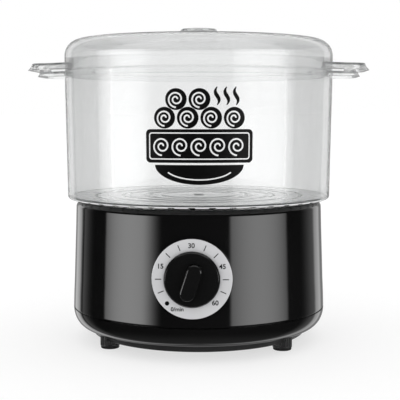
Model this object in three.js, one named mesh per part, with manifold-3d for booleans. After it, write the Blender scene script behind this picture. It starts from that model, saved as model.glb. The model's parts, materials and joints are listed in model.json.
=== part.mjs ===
// A table-top hot towel steamer. A glossy round base boils a little water, the steam rises through
// a drip tray into a clear perforated bowl that holds rolled towels, and a clear lid closes the bowl.
// A wind-up sixty minute timer on the front switches the heater.
// Millimetres, +Z up, the table at Z = 0, the dial towards -Y and the handles along X.
import * as THREE from "three";
import { mergeVertices } from "three/addons/utils/BufferGeometryUtils.js";
import Module from "manifold-3d";

const wasm = await Module();
wasm.setup();

// ---- Driving dimensions ----
const SEGMENTS = 36; // facets of every large round part, so that nested walls stay parallel
const GAP = 0.3; // clearance between pieces that rest on each other
const WALL = 2.5; // casing wall

// Base, from the table up.
const COVER_BOTTOM_Z = 6;
const COVER_TOP_Z = 10.7;
const TUB_BOTTOM_Z = 11;
const SEAM_Z = 26;
const SEAM_GROOVE = 0.6;
const SHOULDER_Z = 103.9;
const SHOULDER_RADIUS = 4.5;
const BASE_TOP_Z = SHOULDER_Z + SHOULDER_RADIUS;
const SEAM_R = 98.2;
const SHOULDER_R = 95.5;
const TUB_FOOT_R = 86.9;
const MOUTH_R = 88.3; // recess that holds the tank, the tray and the foot ring of the bowl
const LEDGE_R = 83.5;
const LEDGE_Z = 101.5;
const NEST_R = MOUTH_R - 0.4;

// Feet and screws, each placed once per quadrant.
const FOOT = [64.7, 45.3];
const LEG_R = 7.3;
const LEG_BOTTOM_Z = 1.6;
const CASE_POST = [42, 61];
const SCREW_HOLE_R = 1.9;
const SCREW_R = 1.5;

// Tank and heater.
const WELL_R = 54;
const WELL_FLOOR_Z = 62;
const BASIN_FLOOR_Z = 90;
const HEATER_HOLE_R = 36;
const PLATE_R = 43.2;
const ELEMENT_RING_R = 27;
const ELEMENT_R = 3.4;
const ELEMENT_Z = 53.7;
const ELEMENT_ANGLE = 60; // from +X to each of the element's ends, in degrees
const TERMINAL_Z = 44;
const CLAMP_SCREW_R = 47.5;

// Bowl and lid.
const FLOOR_Z = 110.3;
const FLOOR_THICKNESS = 2;
const RIM_Z = 207.7;
const RIM_R = 103.4;
const BOWL_WALL = 2.3;
const BOWL_HEEL_R = 99.4;
const BOWL_LOW_R = 101.8;
const BOWL_LOW_Z = 112.8;
const SLOT_RINGS = [38, 59, 80]; // radii of the steam slot rings
const SLOT = [7.6, 3];
const SLOT_PITCH = 13;
const CASTLE_RING = [88.9, 90.9]; // the notched ring that the bowl stands on
const CASTLE_NOTCHES = 44;
const LID_CORNER = 12.5;
const LID_CORNER_Z = 219.5;
const CROWN_R = 1179;
const CROWN_Z = 235.6;
const LID_WALL = 2.2;
const SPIGOT = { outer: 100.6, inner: 99.2, bottom: 203.5 };
const LID_BOSS = { radius: 14.1, recess: 11.3, top: 240.8, floor: 239 };
const VENT_RING_R = 62;

// Side handles: half widths at the wall and at the tip, the tip's reach, and how far the lip flares.
const LID_HANDLE = {
  root: 47,
  tip: 31,
  reach: 126.6,
  flare: 3.2,
  top: 213.5,
  bottom: 208.3,
  skin: 1.8,
  tooth: { x: [109, 118], bottom: 206.9 },
};
const BOWL_HANDLE = { root: 43, tip: 27, reach: 121.7, flare: 1.5, top: 207.4, bottom: 203.6, skin: 1.8 };
const HANDLE_CORNER = 13;

// Dial and timer, as distances forward of the steamer's axis.
const DIAL_Z = 61.2;
const DIAL_R = 28.1;
const PAD = { radius: 28.5, back: 90.5, front: 97.3 };
const DIAL_PLATE = { back: 97.6, front: 98.6 };
const KNOB = { radius: 19.7, face: 18.6, back: 98.9, rim: 100.8, front: 102.4, tip: 108.9 };
const GRIP = { length: 26, width: 10.5, turn: -17.7 };
const HUB_R = 5;
const SHAFT_R = 3;
const TIMER_HALF = 22;
const TIMER = { front: 90.2, back: 69.4, wall: 1.4 };
const TIMER_SCREW_X = 16;

// Cord gland in the rear wall.
const GLAND_Z = 40;
const GLAND = { bore: 3.4, barrel: 5.2, flange: 7.5, inner: 92.3, nut: 94.5, wall: 98.1, outer: 100.6 };

// The axis stands a little behind the origin, so that the origin is the middle of the footprint.
const AXIS_Y = (KNOB.tip - RIM_R) / 2;

// ---- Shape helpers ----
const radians = THREE.MathUtils.degToRad;
const quadrants = [
  ["front_left", -1, -1],
  ["front_right", 1, -1],
  ["rear_left", -1, 1],
  ["rear_right", 1, 1],
];

// Points of an elliptical arc in a (radius, height) profile, angles in degrees.
function arc(r, z, a, b, from, to, steps) {
  return Array.from({ length: steps + 1 }, (_, i) => {
    const t = radians(from + ((to - from) * i) / steps);
    return [r + a * Math.cos(t), z + b * Math.sin(t)];
  });
}

// A profile of [radius, height] pairs turned about Z. It runs outwards underneath and inwards on top.
function revolve(profile, segments = SEGMENTS) {
  const points = profile.map(([r, z]) => new THREE.Vector2(r, z));
  if (profile[0][0] > 0) points.push(points[0].clone());
  return new THREE.LatheGeometry(points, segments).rotateX(Math.PI / 2);
}

// A cylinder standing on Z at (x, y).
function post(radius, z0, z1, x = 0, y = 0, segments = 16) {
  return new THREE.CylinderGeometry(radius, radius, z1 - z0, segments)
    .rotateX(Math.PI / 2)
    .translate(x, y, (z0 + z1) / 2);
}

// A cylinder lying along Y at (x, z).
function rod(radius, y0, y1, x, z, segments = 24) {
  return new THREE.CylinderGeometry(radius, radius, y1 - y0, segments).translate(x, (y0 + y1) / 2, z);
}

function block([x0, x1], [y0, y1], [z0, z1]) {
  return new THREE.BoxGeometry(x1 - x0, y1 - y0, z1 - z0).translate(
    (x0 + x1) / 2,
    (y0 + y1) / 2,
    (z0 + z1) / 2,
  );
}

// Turns a piece modelled with its axis on +Z to face forward, on the dial's axis.
function forward(geometry) {
  return geometry.rotateX(Math.PI / 2).translate(0, 0, DIAL_Z);
}

// A round wire or tube along a smooth curve through the points.
function tube(points, radius, sides, steps) {
  const path = new THREE.CatmullRomCurve3(points.map((p) => new THREE.Vector3(...p)));
  const corners = Array.from({ length: sides }, (_, i) => {
    const t = (2 * Math.PI * i) / sides;
    return new THREE.Vector2(radius * Math.cos(t), radius * Math.sin(t));
  });
  return new THREE.ExtrudeGeometry(new THREE.Shape(corners), { steps, extrudePath: path });
}

// ---- Booleans ----
function solid(geometry) {
  const bare = geometry.index ? geometry.toNonIndexed() : geometry;
  const merged = mergeVertices(
    new THREE.BufferGeometry().setAttribute("position", bare.getAttribute("position")),
  );
  return new wasm.Manifold(
    new wasm.Mesh({
      numProp: 3,
      vertProperties: merged.getAttribute("position").array,
      triVerts: new Uint32Array(merged.index.array),
    }),
  );
}

function combine(geometries) {
  return geometries.map(solid).reduce((whole, piece) => whole.add(piece));
}

function geometryOf(manifold) {
  const { vertProperties, triVerts } = manifold.getMesh();
  const geometry = new THREE.BufferGeometry()
    .setAttribute("position", new THREE.BufferAttribute(vertProperties, 3))
    .setIndex(new THREE.BufferAttribute(triVerts, 1));
  geometry.computeVertexNormals();
  return geometry;
}

// Joins the bodies, then takes the tools away from them.
function carve(bodies, tools = []) {
  const joined = combine(bodies);
  return geometryOf(tools.length ? joined.subtract(combine(tools)) : joined);
}

// ---- Materials ----
const plastic = (color, roughness) => new THREE.MeshStandardMaterial({ color, roughness, metalness: 0 });
const metal = (color, roughness) => new THREE.MeshStandardMaterial({ color, roughness, metalness: 1 });
const glossBlack = plastic(0x0a0a0b, 0.08);
const mattBlack = plastic(0x121214, 0.5);
const clear = new THREE.MeshStandardMaterial({
  color: 0xf2f4f4,
  roughness: 0.03,
  metalness: 0,
  transparent: true,
  opacity: 0.28,
});
const dialSilver = metal(0xc4c5c6, 0.42);
const aluminium = metal(0xb9bbbd, 0.35);
const steel = metal(0x9c9ea1, 0.3);
const brass = metal(0xb08d3e, 0.35);
const rubber = plastic(0x0d0d0d, 0.85);
const silicone = plastic(0xd8d4cc, 0.6);
const nylon = plastic(0xe6e2d6, 0.5);
const insulation = plastic(0xe8e6e0, 0.45);

// ---- Group and placing ----
const steamer = new THREE.Group();
steamer.position.y = AXIS_Y;

function place(name, geometry, material) {
  const mesh = new THREE.Mesh(geometry, material);
  mesh.name = name;
  steamer.add(mesh);
  return mesh;
}

// A pan-head screw pointing up from the origin.
function screw(headR, headH, length) {
  return revolve(
    [
      [0, 0],
      [headR * 0.7, 0],
      [headR, headH * 0.45],
      [headR, headH],
      [SCREW_R, headH],
      [SCREW_R, length - 1],
      [0, length],
    ],
    8,
  );
}

// ---- Base casing ----
const atEach = ([x, y], make) => quadrants.map(([, sx, sy]) => make(sx * x, sy * y));

function housing() {
  const lowInnerR = SEAM_R - WALL;
  const highInnerR = SHOULDER_R - WALL;
  const bottom = SEAM_Z + SEAM_GROOVE;
  const shell = revolve([
    [lowInnerR, bottom],
    [SEAM_R, bottom],
    [SHOULDER_R, SHOULDER_Z],
    ...arc(SHOULDER_R - SHOULDER_RADIUS, SHOULDER_Z, SHOULDER_RADIUS, SHOULDER_RADIUS, 22.5, 90, 3),
    [MOUTH_R, BASE_TOP_Z],
    [MOUTH_R, LEDGE_Z],
    [LEDGE_R, LEDGE_Z],
    [LEDGE_R, LEDGE_Z - WALL],
    [highInnerR, LEDGE_Z - WALL],
  ]);
  const pad = rod(PAD.radius, -PAD.front, -PAD.back, 0, DIAL_Z, 48);
  const posts = atEach(CASE_POST, (x, y) => post(3.8, TUB_BOTTOM_Z + WALL + 0.4, BASIN_FLOOR_Z - 2, x, y, 12));
  const ribs = atEach(CASE_POST, (x, y) => {
    const reach = Math.hypot(x, y);
    return block([reach, highInnerR + 2.2], [-1, 1], [50, BASIN_FLOOR_Z - 2]).rotateZ(Math.atan2(y, x));
  });
  const pilots = atEach(CASE_POST, (x, y) => post(SCREW_HOLE_R, TUB_BOTTOM_Z, 30, x, y, 8));
  const timerHoles = [-1, 1].flatMap((side) => [
    rod(SCREW_HOLE_R, -PAD.front - 1, -PAD.back + 1, side * TIMER_SCREW_X, DIAL_Z, 8),
    rod(3.4, -PAD.front - 1, -PAD.front + 2.1, side * TIMER_SCREW_X, DIAL_Z, 8),
  ]);
  return carve(
    [shell, pad, ...posts, ...ribs],
    [
      ...pilots,
      ...timerHoles,
      rod(PAD.radius, -PAD.front - 5, -PAD.front, 0, DIAL_Z, 48),
      rod(HUB_R + 0.6, -PAD.front - 1, -PAD.back + 1, 0, DIAL_Z),
      rod(GLAND.barrel + 0.4, 90, 105, 0, GLAND_Z),
    ],
  );
}

function tub() {
  const lip = { outer: SEAM_R - WALL - 0.4, inner: 93.3, top: 31 };
  const curve = { a: SEAM_R - TUB_FOOT_R, b: SEAM_Z - TUB_BOTTOM_Z };
  const flangeR = 70;
  const shell = revolve([
    [flangeR, TUB_BOTTOM_Z],
    ...arc(TUB_FOOT_R, SEAM_Z, curve.a, curve.b, -90, 0, 6),
    [lip.outer, SEAM_Z],
    [lip.outer, lip.top],
    [lip.inner, lip.top],
    ...arc(TUB_FOOT_R, SEAM_Z, lip.inner - TUB_FOOT_R, curve.b - WALL, 0, -90, 3),
    [flangeR, TUB_BOTTOM_Z + WALL],
  ]);
  const posts = atEach(FOOT, (x, y) => post(4.2, TUB_BOTTOM_Z, 23, x, y, 12));
  const holes = [FOOT, CASE_POST].flatMap((spot) =>
    atEach(spot, (x, y) => post(SCREW_HOLE_R, TUB_BOTTOM_Z - 1, 24, x, y, 8)),
  );
  return carve([shell, ...posts], holes);
}

function bottomCover() {
  const plate = revolve([
    [0, COVER_BOTTOM_Z],
    [83, COVER_BOTTOM_Z],
    [85.2, COVER_TOP_Z],
    [80.5, COVER_TOP_Z],
    [79.5, COVER_BOTTOM_Z + 2.2],
    [0, COVER_BOTTOM_Z + 2.2],
  ]);
  const legs = atEach(FOOT, (x, y) => post(LEG_R, LEG_BOTTOM_Z, COVER_TOP_Z, x, y, 16));
  const recesses = atEach(FOOT, (x, y) => post(5.3, LEG_BOTTOM_Z - 1, COVER_BOTTOM_Z, x, y, 12));
  const holes = atEach(FOOT, (x, y) => post(SCREW_HOLE_R, LEG_BOTTOM_Z, COVER_TOP_Z + 1, x, y, 8));
  const vents = Array.from({ length: 8 }, (_, i) =>
    block([37, 53], [-1.5, 1.5], [0, 12]).rotateZ((Math.PI * (i + 0.5)) / 4),
  );
  return carve([plate, ...legs], [...recesses, ...holes, ...vents]);
}

function footPad() {
  return revolve(
    [
      [0, 0],
      [6.3, 0],
      [6.9, 0.6],
      [6.9, LEG_BOTTOM_Z - GAP],
      [5, LEG_BOTTOM_Z - GAP],
      [5, 3.3],
      [0, 3.3],
    ],
    12,
  );
}

place("base_housing", housing(), glossBlack);
place("base_tub", tub(), glossBlack);
place("bottom_cover", bottomCover(), mattBlack);
for (const [name, sx, sy] of quadrants) {
  const [footX, footY] = [sx * FOOT[0], sy * FOOT[1]];
  const [postX, postY] = [sx * CASE_POST[0], sy * CASE_POST[1]];
  place(`foot_pad_${name}`, footPad(), rubber).position.set(footX, footY, 0);
  place(`foot_screw_${name}`, screw(3.2, 1.9, 17), steel).position.set(footX, footY, 3.8);
  place(`case_screw_${name}`, screw(3, 1.8, 17), steel).position.set(postX, postY, 8.9);
}

function cordGland() {
  const profile = [
    [GLAND.bore, GLAND.inner],
    [GLAND.flange, GLAND.inner],
    [GLAND.flange, GLAND.nut],
    [GLAND.barrel, GLAND.nut],
    [GLAND.barrel, GLAND.wall],
    [GLAND.flange, GLAND.wall],
    [GLAND.flange, GLAND.outer - 0.8],
    [GLAND.flange - 0.8, GLAND.outer],
    [GLAND.bore, GLAND.outer],
  ];
  return revolve(profile, 24).rotateX(-Math.PI / 2).translate(0, 0, GLAND_Z);
}
place("cord_gland", cordGland(), mattBlack);

// ---- Water tank and drip tray ----
const clampAngles = [90, 210, 330];
const clampSpots = clampAngles.map((a) => [
  CLAMP_SCREW_R * Math.cos(radians(a)),
  CLAMP_SCREW_R * Math.sin(radians(a)),
]);

function waterTank() {
  const flangeZ = LEDGE_Z + GAP;
  const vessel = revolve([
    [HEATER_HOLE_R, WELL_FLOOR_Z],
    [WELL_R - 1.5, WELL_FLOOR_Z],
    [WELL_R, WELL_FLOOR_Z + 2],
    [WELL_R + 1.5, BASIN_FLOOR_Z],
    [80, BASIN_FLOOR_Z],
    [83, BASIN_FLOOR_Z + 3],
    [LEDGE_R - GAP, flangeZ],
    [NEST_R, flangeZ],
    [NEST_R, flangeZ + 1.8],
    [81.2, flangeZ + 1.8],
    [80.9, BASIN_FLOOR_Z + 4],
    [79, BASIN_FLOOR_Z + 2],
    [WELL_R - 0.5, BASIN_FLOOR_Z + 2],
    [WELL_R - 2.2, WELL_FLOOR_Z + 2],
    [HEATER_HOLE_R, WELL_FLOOR_Z + 2],
  ]);
  const bosses = clampSpots.map(([x, y]) => post(3.6, 57.4, WELL_FLOOR_Z + 1, x, y, 12));
  const pilots = clampSpots.map(([x, y]) => post(SCREW_HOLE_R, 57, WELL_FLOOR_Z + 0.6, x, y, 8));
  return carve([vessel, ...bosses], pilots);
}

function dripTray() {
  const flangeZ = LEDGE_Z + 2.4;
  const floorZ = BASIN_FLOOR_Z + 4.5;
  const collar = { outer: 27.6, inner: 26, top: 102 };
  return revolve([
    [collar.inner, floorZ],
    [78.5, floorZ],
    [80.4, floorZ + 2],
    [80.4, flangeZ],
    [NEST_R, flangeZ],
    [NEST_R, flangeZ + 1.5],
    [79, flangeZ + 1.5],
    [78.8, floorZ + 2.6],
    [77.6, floorZ + 1.5],
    [collar.outer, floorZ + 1.5],
    [collar.outer, collar.top],
    [collar.inner, collar.top],
  ]);
}

place("water_tank", waterTank(), mattBlack);
place("drip_tray", dripTray(), mattBlack);

// ---- Heater under the tank ----
function heatingPlate() {
  return revolve([
    [0, 57.4],
    [PLATE_R, 57.4],
    [PLATE_R, 59.9],
    [HEATER_HOLE_R - GAP, 59.9],
    [HEATER_HOLE_R - GAP, WELL_FLOOR_Z + 2.3],
    [34.5, WELL_FLOOR_Z + 3.2],
    [0, WELL_FLOOR_Z + 3.2],
  ]);
}

function heaterGasket() {
  return revolve([
    [HEATER_HOLE_R + 0.4, 60.2],
    [PLATE_R, 60.2],
    [PLATE_R, 61.7],
    [HEATER_HOLE_R + 0.4, 61.7],
  ]);
}

// The tubular element runs round the underside of the plate, and its ends turn down to the terminals.
function heatingElement() {
  const turns = 12;
  const sweep = 360 - (180 - 2 * ELEMENT_ANGLE);
  const round = Array.from({ length: turns + 1 }, (_, i) => {
    const t = radians(ELEMENT_ANGLE - (sweep * i) / turns);
    return [ELEMENT_RING_R * Math.cos(t), ELEMENT_RING_R * Math.sin(t), ELEMENT_Z];
  });
  const down = ([x, y], z) => [x, y, z];
  const first = round[0];
  const last = round[turns];
  const points = [
    down(first, TERMINAL_Z),
    down(first, ELEMENT_Z - 4),
    ...round.slice(1, -1),
    down(last, ELEMENT_Z - 4),
    down(last, TERMINAL_Z),
  ];
  return tube(points, ELEMENT_R, 8, 32);
}

function heaterClamp() {
  const plate = revolve([
    [37.5, 55.5],
    [51, 55.5],
    [51, 57.1],
    [37.5, 57.1],
  ]);
  return carve([plate], clampSpots.map(([x, y]) => post(SCREW_HOLE_R, 55, 58, x, y, 8)));
}

place("heating_plate", heatingPlate(), aluminium);
place("heater_gasket", heaterGasket(), silicone);
place("heating_element", heatingElement(), steel);
place("heater_clamp", heaterClamp(), steel);
clampSpots.forEach(([x, y], i) => {
  place(`clamp_screw_${i + 1}`, screw(3, 1.8, 7.4), steel).position.set(x, y, 53.4);
});
place("thermostat", post(8.5, 50.4, 57.1, 0, -2, 24), steel);
place("thermal_fuse", new THREE.CylinderGeometry(2.2, 2.2, 15, 12).rotateZ(Math.PI / 2).translate(0, 13.5, 54.6), nylon);

// ---- Dial and knob ----
function dialPlate() {
  return forward(
    revolve([
      [HUB_R + 1.5, DIAL_PLATE.back],
      [DIAL_R, DIAL_PLATE.back],
      [DIAL_R, DIAL_PLATE.front - 0.4],
      [DIAL_R - 0.4, DIAL_PLATE.front],
      [HUB_R + 1.5, DIAL_PLATE.front],
    ]),
  );
}

function gripBar() {
  const rootZ = KNOB.front - 0.6;
  const round = GRIP.width / 2;
  const straight = GRIP.length / 2 - round;
  const bevel = 1;
  const outline = new THREE.Shape()
    .absarc(0, straight, round - bevel, 0, Math.PI)
    .absarc(0, -straight, round - bevel, Math.PI, 2 * Math.PI)
    .closePath();
  return new THREE.ExtrudeGeometry(outline, {
    depth: KNOB.tip - rootZ - 2 * bevel,
    curveSegments: 8,
    bevelThickness: bevel,
    bevelSize: bevel,
    bevelSegments: 2,
  })
    .rotateZ(radians(GRIP.turn))
    .translate(0, 0, rootZ + bevel);
}

function knob() {
  const shaftEnd = 101.5;
  const disc = revolve([
    [0, shaftEnd],
    [SHAFT_R + GAP, shaftEnd],
    [SHAFT_R + GAP, 94.2],
    [HUB_R, 94.2],
    [HUB_R, KNOB.back],
    [KNOB.radius, KNOB.back],
    [KNOB.radius, KNOB.rim],
    [KNOB.face, KNOB.front],
    [0, KNOB.front],
  ]);
  return forward(carve([disc, gripBar()]));
}

function timerShaft() {
  const flat = block([-4, 4], [1.6, 4], [95, 102]);
  return forward(carve([post(SHAFT_R, 68.4, 101.2, 0, 0, 24)], [flat]));
}

place("dial_plate", dialPlate(), dialSilver);
place("knob", knob(), glossBlack);
place("timer_shaft", timerShaft(), steel);
place("shaft_clip", forward(block([-1.6, 1.6], [1.9, 2.5], [95.4, 100.6])), steel);

// ---- Timer works ----
const timerSpan = [-TIMER_HALF, TIMER_HALF];
const timerHeight = timerSpan.map((v) => v + DIAL_Z);

function timerCase() {
  const inside = timerSpan.map((v) => v * (1 - TIMER.wall / TIMER_HALF));
  return carve(
    [block(timerSpan, [-TIMER.front, -TIMER.back], timerHeight)],
    [
      block(inside, [-TIMER.front + TIMER.wall, -TIMER.back + 1], inside.map((v) => v + DIAL_Z)),
      rod(SHAFT_R + GAP, -TIMER.front - 1, -TIMER.back, 0, DIAL_Z),
      ...[-1, 1].map((side) =>
        rod(SCREW_HOLE_R, -TIMER.front - 1, -TIMER.back, side * TIMER_SCREW_X, DIAL_Z, 8),
      ),
    ],
  );
}

function timerBackPlate() {
  const back = TIMER.back - GAP;
  return carve(
    [block(timerSpan, [-back, -back + 1.2], timerHeight)],
    [rod(SHAFT_R + GAP, -back - 1, -back + 3, 0, DIAL_Z)],
  );
}

// The switch cam: a round disc with one notch that drops the moving contact at zero.
function timerCam() {
  return forward(
    carve([post(13, 82, 85, 0, 0, 32)], [post(SHAFT_R + GAP, 80, 87, 0, 0, 24), block([-2.5, 2.5], [-14, -10.5], [81, 86])]),
  );
}

function springBarrel() {
  return forward(carve([post(15, 72, 80, 0, 0, 32)], [post(SHAFT_R + GAP, 70, 82, 0, 0, 24)]));
}

function bell() {
  return revolve(
    [
      [1.9, 0],
      [8, 0.6],
      [12.2, 3],
      [13, 6.3],
      [12.1, 6.3],
      [11.4, 3.6],
      [7.6, 1.6],
      [1.9, 1],
    ],
    20,
  );
}

place("timer_case", timerCase(), steel);
place("timer_back_plate", timerBackPlate(), steel);
place("timer_cam", timerCam(), nylon);
place("spring_barrel", springBarrel(), brass);
place("contact_blade_moving", block([-17, 8], [-85, -82], [75.2, 75.8]), brass);
place("contact_blade_fixed", block([-17, 10], [-85, -82], [78.4, 79]), brass);

const bellSpot = new THREE.Vector3(6, -61.2, 50);
place("timer_bell", bell().rotateX(Math.PI / 2), steel).position.copy(bellSpot);
place("bell_screw", screw(2.9, 1.2, 6).rotateX(Math.PI / 2), steel).position.set(6, -59.6, 50);
place("bell_hammer", block([-12.5, -10.5], [-67.4, -65.6], [44, 58]), steel);
[
  ["timer_screw_left", -1],
  ["timer_screw_right", 1],
].forEach(([name, side]) => {
  place(name, screw(3, 1.6, 11).rotateX(-Math.PI / 2), steel).position.set(side * TIMER_SCREW_X, -97.1, DIAL_Z);
});

// ---- Wiring ----
place("terminal_block", block([-14, 14], [34, 46], [COVER_BOTTOM_Z + 2.5, COVER_BOTTOM_Z + 11.4]), nylon);
const terminalX = ELEMENT_RING_R * Math.cos(radians(ELEMENT_ANGLE));
const terminalY = ELEMENT_RING_R * Math.sin(radians(ELEMENT_ANGLE));
const blockTop = COVER_BOTTOM_Z + 12;
const timerUnder = DIAL_Z - TIMER_HALF - 2 * GAP;
const elementUnder = TERMINAL_Z - 2 * GAP;
const leads = {
  lead_supply_to_timer: [
    [-8, 40, blockTop],
    [-9, 39, 24],
    [-40, 12, 32],
    [-40, -30, 30],
    [-14, -74, 30],
    [-10, -80, timerUnder],
  ],
  lead_timer_to_heater: [
    [10, -80, timerUnder],
    [14, -74, 30],
    [38, -30, 30],
    [34, 14, 32],
    [terminalX + 2, terminalY + 1, 36],
    [terminalX, terminalY, elementUnder],
  ],
  lead_heater_return: [
    [8, 40, blockTop],
    [7, 38, 24],
    [-4, 32, 30],
    [-terminalX + 1, terminalY + 1, 36],
    [-terminalX, terminalY, elementUnder],
  ],
};
for (const [name, points] of Object.entries(leads)) {
  place(name, tube(points, 1.2, 6, 16), insulation);
}

// ---- Bowl and lid ----
// A side handle: a flat tongue with a flared lip under it, along +X from inside the wall.
// The lip may carry a tooth on each side.
function handle({ root, tip, reach, flare, top, bottom, skin, tooth }) {
  const rootX = 90;
  const tongue = (inset) => {
    const corner = HANDLE_CORNER - inset;
    const x = reach - inset;
    const y = tip - inset;
    const outline = new THREE.Shape()
      .moveTo(rootX, -root + inset)
      .lineTo(x - corner, -y)
      .quadraticCurveTo(x, -y, x, -y + corner)
      .lineTo(x, y - corner)
      .quadraticCurveTo(x, y, x - corner, y)
      .lineTo(rootX, root - inset);
    const height = top - bottom;
    return new THREE.ExtrudeGeometry(outline, {
      depth: 2 * skin,
      curveSegments: 4,
      bevelThickness: height,
      bevelSize: flare,
      bevelSegments: 1,
    }).translate(0, 0, top - height - 2 * skin);
  };
  const across = [-root - 20, root + 20];
  const below = solid(block([rootX - 20, reach + 20], across, [bottom - 30, bottom]));
  const trim = tooth ? below.subtract(solid(block(tooth.x, across, [tooth.bottom, bottom + 1]))) : below;
  const hollow = tongue(skin).translate(0, 0, -skin);
  const insideWall = post(RIM_R - 1, bottom - 10, top + 10, 0, 0, SEGMENTS);
  return solid(tongue(0)).subtract(combine([hollow, insideWall]).add(trim));
}

function bothSides(manifold) {
  return manifold.add(manifold.mirror([1, 0, 0]));
}

function slot(radius, floorTop) {
  const [length, width] = SLOT;
  const reach = [radius - width / 2, radius + width / 2];
  return block(reach, [-length / 2, length / 2], [FLOOR_Z - 1, floorTop + 1]);
}

function bowl() {
  const heel = { a: BOWL_LOW_R - BOWL_HEEL_R, b: BOWL_LOW_Z - FLOOR_Z };
  const inner = { r: BOWL_HEEL_R - 1, a: BOWL_LOW_R - BOWL_WALL - BOWL_HEEL_R + 1, b: 1.7 };
  const footRing = { outer: 86.8, inner: 84.8, bottom: 105.7 };
  const floorTop = FLOOR_Z + FLOOR_THICKNESS;
  const vessel = revolve([
    [0, FLOOR_Z],
    [footRing.inner, FLOOR_Z],
    [footRing.inner, footRing.bottom],
    [footRing.outer, footRing.bottom],
    [footRing.outer, FLOOR_Z],
    ...arc(BOWL_HEEL_R, BOWL_LOW_Z, heel.a, heel.b, -90, 0, 3),
    [RIM_R, RIM_Z],
    [RIM_R - BOWL_WALL, RIM_Z],
    ...arc(inner.r, floorTop + inner.b, inner.a, inner.b, 0, -90, 2),
    [0, floorTop],
  ]);
  const castle = revolve([
    [CASTLE_RING[0], BASE_TOP_Z + GAP],
    [CASTLE_RING[1], BASE_TOP_Z + GAP],
    [CASTLE_RING[1], FLOOR_Z + 1],
    [CASTLE_RING[0], FLOOR_Z + 1],
  ]);
  const notches = Array.from({ length: CASTLE_NOTCHES }, (_, i) =>
    block([CASTLE_RING[0] - 2, CASTLE_RING[1] + 2], [-2, 2], [BASE_TOP_Z - 1, FLOOR_Z]).rotateZ(
      (2 * Math.PI * i) / CASTLE_NOTCHES,
    ),
  );
  const slots = SLOT_RINGS.flatMap((radius) => {
    const count = Math.floor((2 * Math.PI * radius) / SLOT_PITCH);
    return Array.from({ length: count }, (_, i) =>
      slot(radius, floorTop).rotateZ((2 * Math.PI * (i + 0.5)) / count),
    );
  });
  const ring = solid(castle).subtract(combine(notches));
  return geometryOf(
    solid(vessel).subtract(wasm.Manifold.union(slots.map(solid))).add(ring).add(bothSides(handle(BOWL_HANDLE))),
  );
}

function lid() {
  const crownAt = (r) => CROWN_Z - CROWN_R + Math.sqrt(CROWN_R ** 2 - r ** 2);
  const cornerR = RIM_R - LID_CORNER;
  const innerCorner = LID_CORNER - LID_WALL;
  const crownR = 55;
  const skirtInnerR = RIM_R - BOWL_WALL;
  const shell = revolve([
    [0, crownAt(0) - LID_WALL],
    [crownR, crownAt(crownR) - LID_WALL],
    ...arc(cornerR, LID_CORNER_Z, innerCorner, innerCorner, 84, 0, 3),
    [skirtInnerR, RIM_Z + 3.5],
    [SPIGOT.inner, RIM_Z + 1.8],
    [SPIGOT.inner, SPIGOT.bottom],
    [SPIGOT.outer, SPIGOT.bottom],
    [SPIGOT.outer, RIM_Z + GAP],
    [RIM_R, RIM_Z + GAP],
    ...arc(cornerR, LID_CORNER_Z, LID_CORNER, LID_CORNER, 0, 85.5, 5),
    [crownR, crownAt(crownR)],
    [LID_BOSS.radius, crownAt(LID_BOSS.radius)],
    [LID_BOSS.radius - 0.3, LID_BOSS.top - 0.4],
    [LID_BOSS.radius - 0.7, LID_BOSS.top],
    [LID_BOSS.recess, LID_BOSS.top],
    [LID_BOSS.recess, LID_BOSS.floor],
    [0, LID_BOSS.floor],
  ]);
  const vents = [0, 90, 180, 270].map((a) =>
    block([VENT_RING_R - 1.3, VENT_RING_R + 1.3], [-3.5, 3.5], [225, 240]).rotateZ(radians(a)),
  );
  return geometryOf(solid(shell).subtract(combine(vents)).add(bothSides(handle(LID_HANDLE))));
}

place("bowl", bowl(), clear);
place("lid", lid(), clear);

export default steamer;
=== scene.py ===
"""A table-top hot towel steamer on a pale floor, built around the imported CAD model.

Lengths are in millimetres, and turned outlines are lists of (radius, height).
"""

import json
import math

import bmesh
import bpy
from mathutils import Matrix, Vector


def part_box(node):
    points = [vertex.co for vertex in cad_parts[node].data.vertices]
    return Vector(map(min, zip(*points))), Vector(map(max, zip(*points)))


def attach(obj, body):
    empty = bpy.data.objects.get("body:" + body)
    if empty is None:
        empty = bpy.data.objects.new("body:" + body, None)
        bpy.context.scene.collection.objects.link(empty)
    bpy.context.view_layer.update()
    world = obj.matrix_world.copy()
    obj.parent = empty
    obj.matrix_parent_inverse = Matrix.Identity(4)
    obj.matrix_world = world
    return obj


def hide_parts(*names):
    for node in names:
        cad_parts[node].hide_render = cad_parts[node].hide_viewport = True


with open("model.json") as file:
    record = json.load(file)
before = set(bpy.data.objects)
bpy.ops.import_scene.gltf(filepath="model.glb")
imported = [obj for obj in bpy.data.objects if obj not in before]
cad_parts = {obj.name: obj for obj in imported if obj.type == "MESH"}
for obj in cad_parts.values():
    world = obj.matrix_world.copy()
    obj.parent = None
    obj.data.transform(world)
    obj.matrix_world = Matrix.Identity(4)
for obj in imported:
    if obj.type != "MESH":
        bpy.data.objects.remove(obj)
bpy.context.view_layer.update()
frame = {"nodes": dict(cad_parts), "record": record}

MM = 0.001
BOWL_LOW, BOWL_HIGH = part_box("bowl")
AXIS_Y = (BOWL_LOW.y + BOWL_HIGH.y) / 2 / MM
FACETS = 240  # round each large turned piece
GAP = 0.3  # between pieces that touch on the real object

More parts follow.
